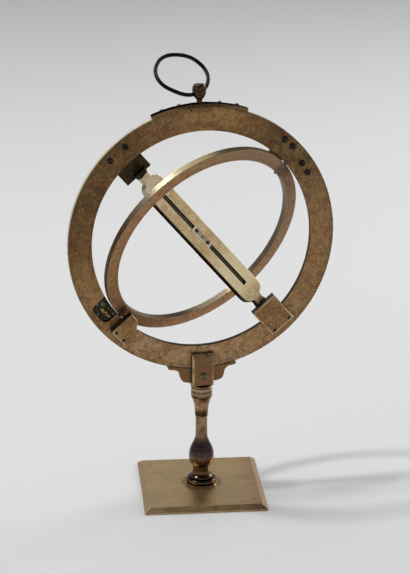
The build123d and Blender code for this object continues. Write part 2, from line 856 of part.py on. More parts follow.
def make_bail():
    """Plain wire ring through the shackle, standing over to one side."""
    centre = bail_point() + bail_lean() * bail_r
    normal = bail_axis().cross(bail_lean())
    return Location(Plane(origin=centre, x_dir=bail_axis(), z_dir=normal)) * Torus(bail_r, bail_wire / 2)


# Assembly: one file for each piece

upper_pivot = radial(hour_axis_angle)
lower_pivot = radial(hour_axis_angle + 180)
upper_pole = radial(pole_angle)
lower_pole = radial(pole_angle + 180)
front_cheek = make_cheek()
lower_pole_block = make_pole_block(lower_pole_lap, lower_pole_side, lower_pole_width, lower_pole_screws)
upper_pole_block = make_pole_block(upper_pole_lap, upper_pole_side, upper_pole_width, upper_pole_screws)


def screw_set(places, front_head, block_height):
    """Screws of one block, in its radial frame."""
    return [cross_screw(lap, w, front_head, block_height) for lap, w in places]


upper_half = half_block(upper_half_height, upper_half_lap, upper_half_screws)
lower_half = half_block(lower_half_height, lower_half_lap, lower_half_screws)
upper_set = screw_set(upper_half_screws + plain_block_screws, True, upper_half_height)
lower_set = screw_set(lower_half_screws, False, lower_half_height)
spare_set = screw_set(spare_screws, False, -open_recess_depth - spare_screw_sunk)
lower_pole_set = screw_set(lower_pole_screws, False, pole_block_thickness)
upper_pole_set = screw_set(upper_pole_screws, True, pole_block_thickness)

pieces = {
    "base_plate": make_base_plate(),
    "base_screw": make_base_screw(),
    "column": make_column(),
    "head_pins": make_head_pins(),
    "head_saddle": make_head_saddle(),
    "front_cheek": front_cheek,
    "back_cheek": mirror(front_cheek, about=Plane.XZ),
    "clamp_screw": make_clamp_screw(),
    "meridian_ring": make_meridian_ring(),
    "pole_block_upper": upper_pole * behind(upper_pole_block),
    "pole_block_lower": lower_pole * lower_pole_block,
    "pole_screws_upper": Compound(children=[upper_pole * screw for screw in upper_pole_set]),
    "pole_screws_lower": Compound(children=[lower_pole * screw for screw in lower_pole_set]),
    "bridge_pin_upper": upper_pole * make_pole_pin(),
    "bridge_pin_lower": lower_pole * make_pole_pin(),
    "pivot_block_lower": lower_pivot * lower_half,
    "pivot_block_upper": upper_pivot * behind(upper_half),
    "pivot_block_plain": upper_pivot * behind(plain_block()),
    "pivot_screws_upper": Compound(children=[upper_pivot * screw for screw in upper_set]),
    "pivot_screws_lower": Compound(children=[lower_pivot * screw for screw in lower_set + spare_set]),
    "hour_pin_upper": upper_pivot * make_hour_pin(),
    "hour_pin_lower": lower_pivot * make_hour_pin(),
    "hour_ring": make_hour_ring(),
    "bridge": make_bridge(),
    "cursor_front": make_cursor_front(),
    "cursor_back": make_cursor_back(),
    "cursor_screws": make_cursor_screws(),
    "hanger": make_hanger(),
    "strap_screws": make_strap_screws(),
    "shackle": make_shackle(),
    "bail": make_bail(),
}

for name, shape in pieces.items():
    export_step(shape, f"parts/{name}.step")
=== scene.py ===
import json
import math

import bmesh
import bpy
import numpy as np
from mathutils import Matrix, Vector


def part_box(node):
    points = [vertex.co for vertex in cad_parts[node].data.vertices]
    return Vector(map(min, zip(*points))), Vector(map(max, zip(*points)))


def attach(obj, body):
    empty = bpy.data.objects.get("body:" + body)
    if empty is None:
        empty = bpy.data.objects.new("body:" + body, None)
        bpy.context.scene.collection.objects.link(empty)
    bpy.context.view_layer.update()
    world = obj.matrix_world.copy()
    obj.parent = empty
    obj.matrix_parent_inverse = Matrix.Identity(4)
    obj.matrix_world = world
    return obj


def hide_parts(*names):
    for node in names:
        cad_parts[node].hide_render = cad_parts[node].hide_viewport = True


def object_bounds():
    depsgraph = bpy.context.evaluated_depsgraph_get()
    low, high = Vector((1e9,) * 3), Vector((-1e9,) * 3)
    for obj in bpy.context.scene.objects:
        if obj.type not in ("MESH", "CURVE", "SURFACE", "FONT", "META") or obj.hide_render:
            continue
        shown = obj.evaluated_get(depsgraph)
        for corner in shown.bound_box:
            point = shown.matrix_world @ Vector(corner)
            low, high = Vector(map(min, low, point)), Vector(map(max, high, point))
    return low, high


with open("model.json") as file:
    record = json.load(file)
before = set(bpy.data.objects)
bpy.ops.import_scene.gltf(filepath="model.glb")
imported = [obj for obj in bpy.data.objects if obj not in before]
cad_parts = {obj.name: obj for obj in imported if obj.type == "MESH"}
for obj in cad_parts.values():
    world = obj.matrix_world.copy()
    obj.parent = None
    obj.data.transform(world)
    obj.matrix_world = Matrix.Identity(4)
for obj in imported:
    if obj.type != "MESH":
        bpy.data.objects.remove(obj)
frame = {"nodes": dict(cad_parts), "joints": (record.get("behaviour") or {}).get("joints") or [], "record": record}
cad_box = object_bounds()
mm = 0.001

# Camera at the photograph's place, in metres and degrees
camera_place = (-0.25262, -0.98960, 0.48414)
camera_yaw = 14.42
camera_pitch = -19.47
camera_roll = 0.20
camera_lens = 169.8
camera_sensor = 36.0

# Studio light: directions towards each lamp, distances and sizes in metres, powers in watts
key_toward = (-0.60, 0.11, 1.0)
key_distance = 1.7
key_size = 0.16
key_power = 11.0
fill_toward = (1.0, 0.40, 0.50)
fill_distance = 1.6
fill_size = 0.7
fill_power = 8.8
top_toward = (-0.10, 0.30, 0.94)
top_distance = 1.8
top_size = 1.2
top_power = 11.0
floor_size = 14.0
sky_strength = 1.0
sky_stops = ((0.50, "#C4C4C5"), (0.67, "#D8D8D9"), (0.76, "#808080"), (0.84, "#48484A"), (1.0, "#38383A"))

# Dial, from the frame
joints = {joint["name"]: joint for joint in frame["joints"]}
centre = Vector(joints["latitude_turn"]["pos_m"])
hour_axis = Vector(joints["hour_ring_fold"]["axis"])
pole_axis = Vector(joints["bridge_turn"]["axis"])
pole_axis *= math.copysign(1, pole_axis.x)
ring_low, ring_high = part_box("meridian_ring")
rim_r = (ring_high.x - ring_low.x) / 2
face_y = ring_low.y
bore_r = rim_r - 13.5 * mm
front = Vector((0, -1, 0))
up = Vector((0, 0, 1))

# Pieces that turn inside the dial
hour_open = math.radians(31.6)
hour_outer_r = bore_r - 0.35 * mm
hour_inner_r = hour_outer_r - 7.0 * mm
hour_face = 1.85 * mm
hour_lift = front.cross(hour_axis)
bridge_turn = math.radians(28.0)
bridge_flat = front.cross(pole_axis)
bridge_across = bridge_flat * math.cos(bridge_turn) - front * math.sin(bridge_turn)
bridge_front = front * math.cos(bridge_turn) + bridge_flat * math.sin(bridge_turn)
lower_pivot = -hour_axis
lower_along = front.cross(lower_pivot)

# Engraved scales
line_width = 0.16 * mm
line_sunk = 0.01 * mm
line_proud = 0.012 * mm

# Bail
bail_wire = 2.2 * mm
bail_bends = ((300, 0.42, 0.062), (148, 0.34, 0.022), (214, 0.28, 0.018), (96, 0.3, 0.012))


def linear(code):
    """Colour of an sRGB hex code as linear red, green, blue and a full alpha."""
    parts = [int(code[i:i + 2], 16) / 255 for i in (1, 3, 5)]
    return [p / 12.92 if p <= 0.04045 else ((p + 0.055) / 1.055) ** 2.4 for p in parts] + [1.0]


def add(tree, kind, inputs=None, stops=None, **settings):
    """Adds a node, sets its properties and ramp stops, and fills or links its inputs."""
    node = tree.nodes.new(kind)
    for name, value in settings.items():
        setattr(node, name, value)
    if stops:
        ramp = node.color_ramp.elements
        ramp.remove(ramp[0])
        ramp[0].position = stops[0][0]
        ramp[0].color = linear(stops[0][1])
        for position, code in stops[1:]:
            ramp.new(position).color = linear(code)
    for socket, value in (inputs or {}).items():
        if isinstance(value, bpy.types.NodeSocket):
            tree.links.new(value, node.inputs[socket])
        else:
            node.inputs[socket].default_value = value
    return node


# Camera, light and floor


def place_camera():
    """Camera at its place, turned left by its yaw, then down by its pitch and rolled."""
    data = bpy.data.cameras.new("camera")
    data.lens = camera_lens
    data.sensor_width = camera_sensor
    data.sensor_fit = "HORIZONTAL"
    data.clip_start = 0.01
    data.clip_end = 100
    camera = bpy.data.objects.new("camera", data)
    bpy.context.scene.collection.objects.link(camera)
    turn = Matrix.Rotation(math.radians(-camera_yaw), 4, "Z")
    tilt = Matrix.Rotation(math.radians(90 + camera_pitch), 4, "X")
    roll = Matrix.Rotation(math.radians(camera_roll), 4, "Z")
    camera.matrix_world = Matrix.Translation(camera_place) @ turn @ tilt @ roll
    bpy.context.scene.camera = camera


def place_light(name, toward, distance, size, power, target):
    """Disc light that shines on a point from a direction."""
    data = bpy.data.lights.new(name, "AREA")
    data.shape = "DISK"
    data.size = size
    data.energy = power
    light = bpy.data.objects.new(name, data)
    bpy.context.scene.collection.objects.link(light)
    way = Vector(toward).normalized()
    light.location = Vector(target) + way * distance
    light.rotation_mode = "QUATERNION"
    light.rotation_quaternion = way.to_track_quat("Z", "Y")


def make_sky():
    """Studio walls: pale near the floor and dark overhead, by the height of the direction."""
    world = bpy.data.worlds.new("studio")
    world.use_nodes = True
    tree = world.node_tree
    way = add(tree, "ShaderNodeTexCoord").outputs["Generated"]
    height = add(tree, "ShaderNodeSeparateXYZ", {0: way}).outputs["Z"]
    share = add(tree, "ShaderNodeMapRange", {"Value": height, "From Min": -1.0})
    ramp = add(tree, "ShaderNodeValToRGB", {0: share.outputs[0]}, stops=sky_stops)
    background = tree.nodes["Background"]
    background.inputs["Strength"].default_value = sky_strength
    tree.links.new(ramp.outputs[0], background.inputs["Color"])
    bpy.context.scene.world = world


def make_floor():
    """Plain pale floor far larger than the view."""
    half = floor_size / 2
    mesh = bpy.data.meshes.new("floor")
    mesh.from_pydata([(-half, -half, 0), (half, -half, 0), (half, half, 0), (-half, half, 0)], [], [(0, 1, 2, 3)])
    floor = bpy.data.objects.new("floor", mesh)
    bpy.context.scene.collection.objects.link(floor)
    material = bpy.data.materials.new("floor_paper")
    material.use_nodes = True
    shader = material.node_tree.nodes["Principled BSDF"]
    shader.inputs["Base Color"].default_value = linear("#E6E6E6")
    shader.inputs["Roughness"].default_value = 0.9
    mesh.materials.append(material)


# Masks for the finishes: each is a number from 0 to its greatest strength, over Object coordinates


def cloud(tree, place, size, low, high, most=1.0, seed=0.0, detail=4.0):
    """Soft patches of a size in mm: noise cut between two of its levels."""
    noise = add(
        tree, "ShaderNodeTexNoise",
        {"Vector": place, "W": seed, "Scale": 1 / (size * mm), "Detail": detail, "Roughness": 0.6},
        noise_dimensions="4D",
    )
    levels = {"Value": noise.outputs[0], "From Min": low, "From Max": high, "To Max": most}
    return add(tree, "ShaderNodeMapRange", levels, interpolation_type="SMOOTHSTEP").outputs[0]


def streaks(tree, place, turn, along, across, low, high, most, seed=0.0):
    """Lines left by a file or a lap: noise drawn out along x after a turn, sizes in mm."""
    drawn = add(
        tree, "ShaderNodeMapping",
        {"Vector": place, "Rotation": turn, "Scale": (across / along, 1.0, 1.0)},
    ).outputs[0]
    return cloud(tree, drawn, across, low, high, most, seed)


def worn_edges(tree, width, most=1.0):
    """Sharp edges, where a normal rounded over a width in mm leaves the true one: the layers lighten them as wear and
    as painted highlight.
    """
    rounded = add(tree, "ShaderNodeBevel", {"Radius": width * mm}, samples=4).outputs[0]
    true = add(tree, "ShaderNodeNewGeometry").outputs["Normal"]
    match = add(tree, "ShaderNodeVectorMath", {0: rounded, 1: true}, operation="DOT_PRODUCT")
    levels = {"Value": match.outputs["Value"], "From Min": 0.99, "From Max": 0.86, "To Max": most}
    return add(tree, "ShaderNodeMapRange", levels).outputs[0]


def hollows(tree, reach, most=1.0):
    """Corners and crevices, where less light arrives from within a reach in mm: the layers darken them as grime and as
    painted shade.
    """
    open_share = add(tree, "ShaderNodeAmbientOcclusion", {"Distance": reach * mm}, samples=4)
    levels = {"Value": open_share.outputs["AO"], "From Min": 0.8, "From Max": 0.25, "To Max": most}
    return add(tree, "ShaderNodeMapRange", levels).outputs[0]


def zone(tree, place, point, way, low, high, most=1.0):
    """Slope along a direction from a point: nothing at the low distance, full at the high one, in mm."""
    away = add(tree, "ShaderNodeVectorMath", {0: place, 1: tuple(point)}, operation="SUBTRACT").outputs[0]
    along = add(tree, "ShaderNodeVectorMath", {0: away, 1: tuple(way)}, operation="DOT_PRODUCT")
    levels = {"Value": along.outputs["Value"], "From Min": low * mm, "From Max": high * mm, "To Max": most}
    return add(tree, "ShaderNodeMapRange", levels, interpolation_type="SMOOTHSTEP").outputs[0]


def facing(tree, way, low, high, most=1.0):
    """Slope by how far the surface faces a direction of its own piece, as a cosine."""
    normal = add(tree, "ShaderNodeTexCoord").outputs["Normal"]
    match = add(tree, "ShaderNodeVectorMath", {0: normal, 1: tuple(way)}, operation="DOT_PRODUCT")
    levels = {"Value": match.outputs["Value"], "From Min": low, "From Max": high, "To Max": most}
    return add(tree, "ShaderNodeMapRange", levels, interpolation_type="SMOOTHSTEP").outputs[0]


def around(tree, place, point, low, high, most=1.0, spread=(1.0, 1.0, 1.0)):
    """Slope by the distance from a point, from nothing at the low one to full at the high one, in mm."""
    away = add(tree, "ShaderNodeVectorMath", {0: place, 1: tuple(point)}, operation="SUBTRACT").outputs[0]
    spread_out = add(tree, "ShaderNodeVectorMath", {0: away, 1: spread}, operation="MULTIPLY").outputs[0]
    far = add(tree, "ShaderNodeVectorMath", {0: spread_out}, operation="LENGTH").outputs["Value"]
    levels = {"Value": far, "From Min": low * mm, "From Max": high * mm, "To Max": most}
    return add(tree, "ShaderNodeMapRange", levels, interpolation_type="SMOOTHSTEP").outputs[0]


def both(tree, *masks):
    """Where all the masks meet: their product, kept within 0 and 1."""
    product = masks[0]
    for mask in masks[1:]:
        product = add(tree, "ShaderNodeMath", {0: product, 1: mask}, operation="MULTIPLY", use_clamp=True).outputs[0]
    return product


def metal(name, ground, layers, rough=(0.36, 0.54), grain=0.3, relief=0.02, metallic=1.0, skim="#FFFFFF"):
    """Metal whose ground colour carries layers, each a mask and a colour, over a fine-grained relief.

    layers takes the tree and its Object coordinates and gives the list. The grain and the relief
    are in mm, and the roughness runs between its two values with patches and grain. skim tints the
    light that skims the surface: a darker one dims the grazing reflections.
    """
    material = bpy.data.materials.new(name)
    material.use_nodes = True
    tree = material.node_tree
    shader = tree.nodes["Principled BSDF"]
    shader.inputs["Metallic"].default_value = metallic
    shader.inputs["Specular Tint"].default_value = linear(skim)
    place = add(tree, "ShaderNodeTexCoord").outputs["Object"]
    under = linear(ground)
    for mask, over in layers(tree, place):
        top = linear(over) if isinstance(over, str) else over
        under = add(tree, "ShaderNodeMix", {0: mask, 6: under, 7: top}, data_type="RGBA").outputs[2]
    tree.links.new(under, shader.inputs["Base Color"])
    fine = add(tree, "ShaderNodeTexNoise", {"Vector": place, "Scale": 1 / (grain * mm), "Detail": 3.0}).outputs[0]
    patches = cloud(tree, place, 3.0, 0.3, 0.7, seed=7.0)
    mixed = add(tree, "ShaderNodeMath", {0: fine, 1: patches}, operation="ADD").outputs[0]
    levels = {"Value": mixed, "From Min": 0.3, "From Max": 1.5, "To Min": rough[0], "To Max": rough[1]}
    tree.links.new(add(tree, "ShaderNodeMapRange", levels).outputs[0], shader.inputs["Roughness"])
    bump = add(tree, "ShaderNodeBump", {"Strength": 0.6, "Distance": relief * mm, "Height": fine})
    tree.links.new(bump.outputs[0], shader.inputs["Normal"])
    return material


def lower_pivot_place(out, along, level):
    """Point at the lower pivot: a distance out from the centre, one along the rim and one to the front, mm."""
    return centre + (lower_pivot * out + lower_along * along + front * level) * mm


# Finishes


def sawn_brass():
    """Plate brass, sawn, filed and lapped on its top, browned by air: streaks across, a stained foot."""
    def layers(tree, place):
        turned = add(tree, "ShaderNodeMapping", {"Vector": place, "Rotation": (0, 0, math.radians(9))}).outputs[0]
        sides = add(tree, "ShaderNodeVectorMath", {0: turned}, operation="ABSOLUTE").outputs[0]
        apart = add(tree, "ShaderNodeSeparateXYZ", {0: sides})
        outer = add(tree, "ShaderNodeMath", {0: apart.outputs[0], 1: apart.outputs[1]}, operation="MAXIMUM")
        slope = add(
            tree, "ShaderNodeMapRange",
            {"Value": outer.outputs[0], "From Min": 31.7 * mm, "From Max": 32.2 * mm},
        ).outputs[0]
        uneven = add(tree, "ShaderNodeMath", {0: apart.outputs[0], 1: apart.outputs[1]}, operation="SUBTRACT")
        corner = add(tree, "ShaderNodeMath", {0: uneven.outputs[0]}, operation="ABSOLUTE")
        mitre_highlight = add(
            tree, "ShaderNodeMapRange",
            {"Value": corner.outputs[0], "From Min": 0.5 * mm, "From Max": 0.15 * mm, "To Max": 0.9},
        ).outputs[0]
        stain = around(tree, place, (0, 0, 0), 13.0, 9.4, 0.75, (1.0, 1.0, 0.0))
        return [
            (cloud(tree, place, 9.0, 0.42, 0.62, 0.3, 1.0), "#AE9C72"),
            (cloud(tree, place, 4.0, 0.5, 0.68, 0.25, 2.0), "#D9B086"),
            (streaks(tree, turned, (0, 0, 0), 22.0, 0.55, 0.45, 0.75, 0.42, 3.0), "#6C5B40"),
            (streaks(tree, turned, (0, 0, 0), 14.0, 0.8, 0.55, 0.8, 0.4, 4.0), "#D9C7A0"),
            (zone(tree, turned, (0, 0, 0), (1, 0, 0), 20.0, 34.0, 0.4), "#A8765A"),
            (both(tree, stain, cloud(tree, place, 2.5, 0.25, 0.6, 1.0, 5.0)), "#4B3A27"),
            # Painted highlight: a light ring on the plate where the column's foot stands
            (both(tree, stain, around(tree, place, (0, 0, 0), 9.7, 9.2, 1.0, (1.0, 1.0, 0.0))), "#FFF0CC"),
            (both(tree, slope, streaks(tree, turned, (0, 0, 0), 16.0, 1.2, 0.2, 0.6, 0.6, 6.0)), "#7E674C"),
            # Painted highlight along the corner lines where the bevels meet
            (both(tree, slope, mitre_highlight), "#F4E6C4"),
            (cloud(tree, place, 0.7, 0.68, 0.76, 0.6, 8.0), "#3A2C1E"),
            (both(tree, worn_edges(tree, 0.3), cloud(tree, place, 5.0, 0.3, 0.6, 0.8, 9.0)), "#DCC99C"),
        ]
    return metal("sawn_brass", "#D0B282", layers, rough=(0.28, 0.44), grain=0.5, relief=0.03)


def turned_brass():
    """Brass turned in a lathe: tarnish and rubbed rings and lips, with painted reflection in its colour by height:
    dark violet bands where the bulb mirrors a dark room, light bands where the rings catch the light.
    """
    # Colours by height: tarnish and rubbed rings, with painted reflections, dark on the bulb and light on the rings
    heights = (
        (0.05, "#A8926F"), (0.084, "#C0AA82"), (0.092, "#4A3E34"), (0.125, "#4C3E32"), (0.19, "#6B5238"),
        (0.24, "#957448"), (0.29, "#8E7254"), (0.35, "#4E4140"), (0.40, "#32292E"), (0.46, "#3A3032"),
        (0.52, "#7E684E"), (0.60, "#95795A"), (0.70, "#9A8060"), (0.715, "#54452F"), (0.76, "#66523A"),
        (0.80, "#B08868"), (0.86, "#A8886C"), (0.895, "#8A7458"), (0.912, "#5A4836"),
        (0.93, "#A8946E"), (0.947, "#5A4836"), (0.962, "#7C6A50"), (0.978, "#B4A07A"), (0.992, "#5A4A38"),
    )

    def layers(tree, place):
        height = add(tree, "ShaderNodeSeparateXYZ", {0: place}).outputs[2]
        share = add(tree, "ShaderNodeMapRange", {"Value": height, "From Max": 64.0 * mm}).outputs[0]
        ramp = add(tree, "ShaderNodeValToRGB", {0: share}, stops=heights).outputs[0]
        rings = add(tree, "ShaderNodeMapping", {"Vector": place, "Scale": (0.02, 0.02, 1.0)}).outputs[0]
        return [
            (1.0, ramp),
            (cloud(tree, place, 4.0, 0.42, 0.6, 0.55, 1.0), "#33261F"),
            (cloud(tree, place, 2.0, 0.55, 0.72, 0.4, 2.0), "#8A5A36"),
            (cloud(tree, rings, 0.45, 0.5, 0.75, 0.14, 3.0), "#A58B60"),
            # Crevices darkened: grime, and painted shade where less light arrives
            (hollows(tree, 1.5, 0.85), "#15100C"),
            (both(tree, worn_edges(tree, 0.25), cloud(tree, place, 2.0, 0.25, 0.6, 1.0, 4.0)), "#E2CB97"),
        ]
    return metal("turned_brass", "#6B563C", layers, rough=(0.12, 0.27), grain=0.5, relief=0.007)


def filed_brass():
    """Brass filed to shape, browned: red-brown in the middle of each face, with painted highlight on the slanted
    bevels and painted shade, near black, on the faces turned up.
    """
    def layers(tree, place):
        bevel = both(tree, facing(tree, front, 0.96, 0.86), facing(tree, front, 0.4, 0.55))
        return [
            (cloud(tree, place, 5.0, 0.42, 0.6, 0.6, 1.0), "#8E5F45"),
            (cloud(tree, place, 2.2, 0.48, 0.64, 0.6, 2.0), "#6A5F40"),
            (streaks(tree, place, (0, 0.6, 0), 5.0, 0.45, 0.5, 0.7, 0.35, 3.0), "#A98A60"),
            # Crevices darkened: grime, and painted shade where less light arrives
            (hollows(tree, 2.5, 0.8), "#1E1610"),
            # Painted highlight on the slanted bevels
            (both(tree, bevel, cloud(tree, place, 3.0, 0.3, 0.5, 0.8, 5.0)), "#C2A478"),
            # Painted shade, near black, on the faces turned upwards
            (facing(tree, up, 0.35, 0.6, 0.9), "#221A12"),
            (both(tree, worn_edges(tree, 0.3), cloud(tree, place, 3.0, 0.3, 0.6, 0.7, 4.0)), "#B99E70"),
        ]
    return metal("filed_brass", "#7A5F40", layers, rough=(0.36, 0.5), relief=0.04)


def patina(tree, place):
    """Brown patina of the dial's brass: orange, red and olive patches, yellow rubbed spots, dark specks."""
    return [
        (cloud(tree, place, 14.0, 0.42, 0.58, 0.6, 1.0), "#AC8656"),
        (cloud(tree, place, 3.4, 0.46, 0.60, 0.6, 2.0), "#7F4F38"),
        (cloud(tree, place, 2.3, 0.48, 0.62, 0.6, 3.0), "#746B48"),
        (cloud(tree, place, 1.3, 0.54, 0.66, 0.6, 4.0), "#CF9F68"),
        (cloud(tree, place, 0.9, 0.55, 0.66, 0.55, 5.0), "#4A3527"),
        (cloud(tree, place, 0.6, 0.53, 0.62, 0.4, 14.0), "#D9B078"),
        (cloud(tree, place, 0.7, 0.55, 0.64, 0.36, 15.0), "#5C3A28"),
        (streaks(tree, place, (0, 0.5, 0), 7.0, 0.4, 0.56, 0.74, 0.4, 6.0), "#C7A16E"),
    ]


def engraved_brass():
    """Sheet brass lapped flat for engraving: patina, painted shade at the upper left, darker at the upper right, dark
    in the bore.
    """
    def layers(tree, place):
        # Painted shade: darker towards the upper left, standing in for the dark reflection there
        shade = around(tree, place, centre + Vector((-62, 0, 32)) * mm, 62.0, 22.0, 0.72)
        # Darker towards the upper right
        upper_right_dark = around(tree, place, centre + Vector((47, 0, 50)) * mm, 40.0, 8.0, 0.6)
        outer = around(tree, place, centre, 75.85, 75.95)
        seat = both(
            tree, zone(tree, place, centre, front, 0.5, 0.35), zone(tree, place, centre, front, -0.2, 0.0),
            around(tree, place, lower_pivot_place(67.0, -8.2, 0.15), 8.8, 8.0),
        )
        strip = both(
            tree, seat,
            zone(tree, place, centre, lower_pivot, 66.3, 66.7), zone(tree, place, centre, lower_pivot, 68.2, 67.8),
            zone(tree, place, centre, lower_along, -11.0, -10.0), zone(tree, place, centre, lower_along, -2.6, -3.4),
        )
        stain = around(tree, place, lower_pivot_place(70.0, -7.0, 1.5), 10.0, 4.0, 0.6)
        large = [
            (zone(tree, place, centre, (0, 0, -1), 26.0, 73.0, 0.8), "#C2A27E"),
            # Painted highlight at the top of the face
            (around(tree, place, centre + Vector((8, 0, 69)) * mm, 28.0, 6.0, 0.75), "#CDA269"),
            # Painted shade at the upper left
            (shade, "#54442F"),
            # Darker towards the upper right
            (upper_right_dark, "#3E3124"),
        ]
        # The painted shade at the upper left again, mottled
        dark = both(tree, shade, cloud(tree, place, 3.0, 0.3, 0.7, 0.7, 12.0))
        return large + patina(tree, place) + [
            (dark, "#54442F"),
            # Darker towards the upper right, mottled
            (both(tree, upper_right_dark, cloud(tree, place, 3.0, 0.3, 0.7, 0.9, 13.0)), "#3E3124"),
            (both(tree, stain, cloud(tree, place, 2.0, 0.35, 0.55, 1.0, 8.0)), "#6B3F2A"),
            (around(tree, place, centre, 62.78, 62.5, 0.9), "#241A12"),
            (around(tree, place, centre, 75.1, 75.7, 0.6), "#6A6142"),
            # Rim dark brown, with a painted highlight where it faces the upper left
            (outer, "#3A2E21"),
            (both(tree, outer, facing(tree, (-0.77, 0, 0.64), -0.2, 0.5)), "#F0E6CE"),
            # Empty seat: painted shade and dark corrosion, near black, then green and brown corrosion
            (seat, "#24231A"),
            (both(tree, seat, cloud(tree, place, 1.6, 0.45, 0.6, 0.8, 9.0)), "#434A36"),
            (both(tree, seat, cloud(tree, place, 1.1, 0.55, 0.66, 0.8, 11.0)), "#6B4A30"),
            (both(tree, strip, cloud(tree, place, 1.3, 0.42, 0.56, 1.0, 10.0)), "#C4A264"),
            # Crevices darkened: grime, and painted shade where less light arrives
            (hollows(tree, 2.0, 0.6), "#1A130D"),
            (both(tree, worn_edges(tree, 0.28), cloud(tree, place, 6.0, 0.35, 0.6, 0.9, 7.0)), "#CFB98C"),
        ]
    return metal("engraved_brass", "#A4825D", layers, rough=(0.36, 0.54), relief=0.05)


def block_brass():
    """Brass blocks filed square: patina on the faces, painted highlight on the bevels, painted shade near black on the
    sides, with green verdigris.
    """
    def layers(tree, place):
        bevel = both(tree, facing(tree, front, 0.92, 0.8), facing(tree, front, 0.5, 0.62))
        side = both(tree, facing(tree, front, 0.5, 0.3), facing(tree, front, -0.5, -0.3))
        return patina(tree, place) + [
            # Painted shade, near black, on the sides, then green verdigris patches
            (side, "#33322A"),
            (both(tree, side, cloud(tree, place, 2.0, 0.45, 0.6, 0.7, 8.0)), "#59604C"),
            # Painted highlight on the bevels
            (both(tree, bevel, cloud(tree, place, 3.0, 0.25, 0.5, 0.85, 9.0)), "#C4AC86"),
            # Crevices darkened: grime, and painted shade where less light arrives
            (hollows(tree, 1.2, 0.7), "#17120C"),
        ]
    return metal("block_brass", "#8C6A46", layers, rough=(0.36, 0.5), relief=0.05)


def sooty_brass():
    """Brass in the dial's shade, black-brown with a green cast: its dark colour is painted shade."""
    def layers(tree, place):
        return [
            (cloud(tree, place, 3.0, 0.45, 0.6, 0.7, 1.0), "#50503A"),
            (cloud(tree, place, 2.2, 0.5, 0.62, 0.7, 2.0), "#5E3A28"),
            (both(tree, worn_edges(tree, 0.2), cloud(tree, place, 3.0, 0.4, 0.6, 0.6, 3.0)), "#8A7A58"),
        ]
    return metal("sooty_brass", "#3A3226", layers, rough=(0.42, 0.58), skim="#8A8478")


def rolled_brass():
    """Brass strip bent to a ring and lapped, warm brown; its edge is olive with a painted highlight at the upper left,
    and a painted shadow lies beside the upper pivot.
    """
    def layers(tree, place):
        outer = around(tree, place, centre, 62.0, 62.12)
        highlight_at = (hour_lift * math.cos(hour_open) + front * math.sin(hour_open)) * hour_outer_r
        pivot = centre + hour_axis * 58.5 * mm
        return [
            (cloud(tree, place, 8.0, 0.42, 0.6, 0.6, 1.0), "#B07E50"),
            (cloud(tree, place, 2.6, 0.46, 0.62, 0.6, 2.0), "#8C5C44"),
            (cloud(tree, place, 1.4, 0.52, 0.66, 0.55, 3.0), "#D2A974"),
            (cloud(tree, place, 0.9, 0.56, 0.68, 0.55, 4.0), "#55402E"),
            (zone(tree, place, centre, hour_axis, 16.0, 52.0, 0.55), "#83735E"),
            # Painted shadow, mottled, beside the upper pivot
            (both(tree, around(tree, place, pivot, 9.0, 3.0, 0.7), cloud(tree, place, 2.0, 0.35, 0.55, 1.0, 6.0)), "#4A3A2C"),
            (outer, "#54442F"),
            (both(tree, outer, zone(tree, place, centre, hour_axis, -12.0, 26.0)), "#7C7052"),
            # Painted highlight on the edge at the upper left
            (both(tree, outer, around(tree, place, centre + highlight_at, 30.0, 3.0, 0.8)), "#948C78"),
            (around(tree, place, centre, 55.34, 55.24, 0.85), "#5F5A4E"),
            # Crevices darkened: grime, and painted shade where less light arrives
            (hollows(tree, 2.0, 0.7), "#1E150E"),
            (both(tree, worn_edges(tree, 0.25), cloud(tree, place, 5.0, 0.3, 0.6, 0.9, 5.0)), "#DCC494"),
        ]
    return metal("rolled_brass", "#9F7F5C", layers, rough=(0.30, 0.46), relief=0.04)


def handled_brass():
    """Pale yellow brass with red spots, green patches and cross lines; painted shade near black on its lower-left side
    and in its slot, and painted highlight on the sides facing the upper right.
    """
    def layers(tree, place):
        lean = (0, math.radians(-49.5), 0)
        inside = both(
            tree,
            zone(tree, place, centre, bridge_front, 1.92, 1.8), zone(tree, place, centre, bridge_front, -1.95, -1.8),
            zone(tree, place, centre, bridge_across, -1.5, -1.42), zone(tree, place, centre, bridge_across, 1.5, 1.42),
        )
        return [
            (cloud(tree, place, 7.0, 0.42, 0.6, 0.6, 1.0), "#D2B67E"),
            (cloud(tree, place, 3.2, 0.5, 0.64, 0.55, 2.0), "#C79A7C"),
            (cloud(tree, place, 2.4, 0.52, 0.66, 0.3, 3.0), "#A9A882"),
            (streaks(tree, place, lean, 12.0, 0.6, 0.48, 0.66, 0.5, 4.0), "#9A8059"),
            (cloud(tree, place, 0.9, 0.6, 0.7, 0.4, 5.0), "#6E4B36"),
            (both(tree, zone(tree, place, centre, pole_axis, 6.0, 22.0, 0.7), zone(tree, place, centre, pole_axis, 44.0, 36.0)), "#FFEFC4"),
            # Painted shade, near black, on the side facing the lower left
            (both(tree, facing(tree, -bridge_across, 0.3, 0.55), cloud(tree, place, 4.0, 0.1, 0.3, 1.0, 7.0)), "#15110C"),
            (zone(tree, place, centre, pole_axis, -38.0, -44.0, 0.55), "#F8E8CA"),
            # Painted highlight on the sides facing the upper right
            (facing(tree, bridge_across, 0.5, 0.8, 0.8), "#FFF4DC"),
            # Painted shade inside the slot
            (inside, "#211E17"),
            # Crevices darkened: grime, and painted shade where less light arrives
            (hollows(tree, 1.2, 0.5), "#14110D"),
            (both(tree, inside, facing(tree, bridge_front, 0.3, 0.6)), "#D6D2B6"),
            (both(tree, worn_edges(tree, 0.3), cloud(tree, place, 5.0, 0.2, 0.5, 0.8, 6.0)), "#F5E8C8"),
        ]
    return metal("handled_brass", "#EBD3A6", layers, rough=(0.30, 0.46), relief=0.04, skim="#B8AE9C")


